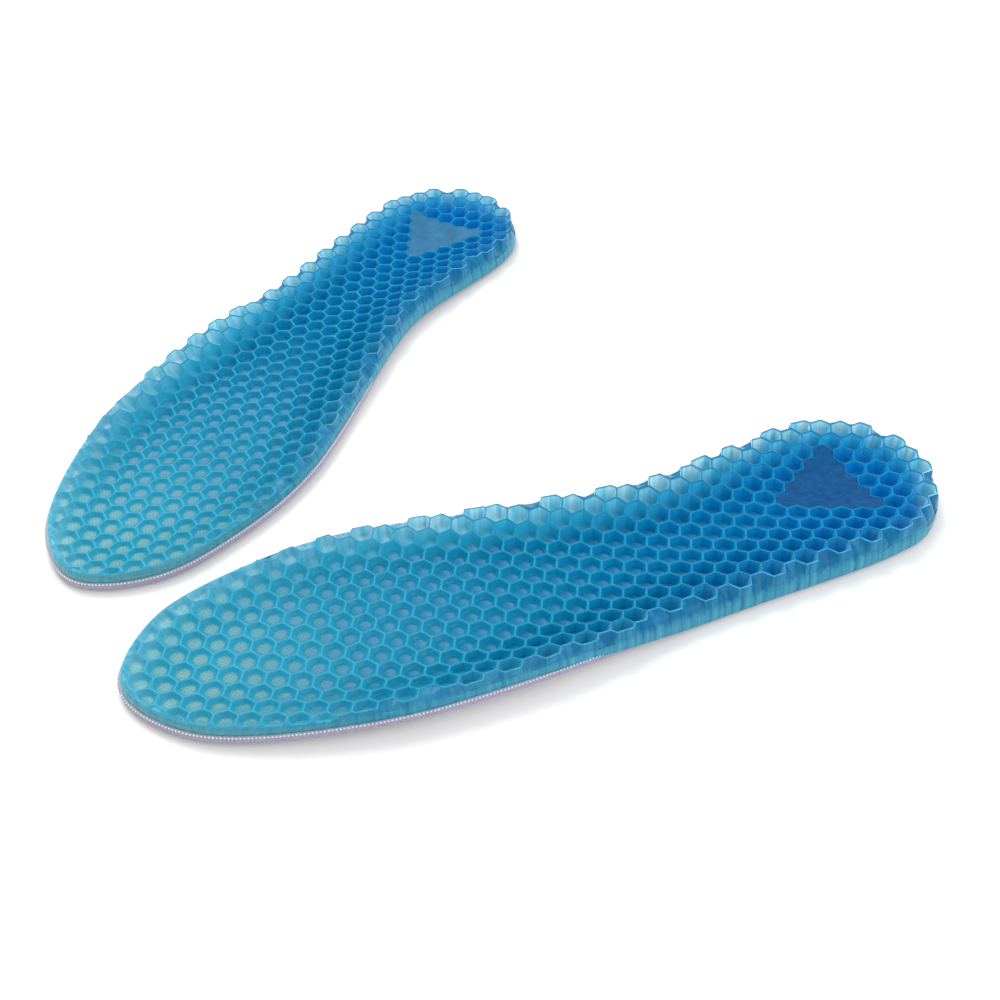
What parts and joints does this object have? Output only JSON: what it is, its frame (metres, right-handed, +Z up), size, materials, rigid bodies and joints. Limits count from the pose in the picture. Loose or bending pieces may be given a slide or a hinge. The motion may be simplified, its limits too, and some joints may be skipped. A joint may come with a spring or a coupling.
{
  "type": "pair of cushioned insoles",
  "caption": "Left and right cushioned insoles: a honeycomb gel moulding with a shallow heel cup on a fabric backing, and a plain triangular pad let into the heel.",
  "frame": {"origin": "middle of the pair's box, on the floor that both insoles lie on", "axes": "+Z up; the two insoles lie at an angle to each other, toes towards -X and -Y and heels towards +X and +Y"},
  "size_m": [0.295, 0.3088, 0.0127],
  "materials": {
    "backing_fabric": "woven, matt",
    "gel": "clear blue, glossy",
    "heel_pad": "smooth, satin"
  },
  "bodies": {
    "root": {"left_fabric_backing": "backing_fabric", "left_honeycomb_gel": "gel", "left_heel_pad": "heel_pad", "right_fabric_backing": "backing_fabric", "right_honeycomb_gel": "gel", "right_heel_pad": "heel_pad"}
  },
  "joints": []
}
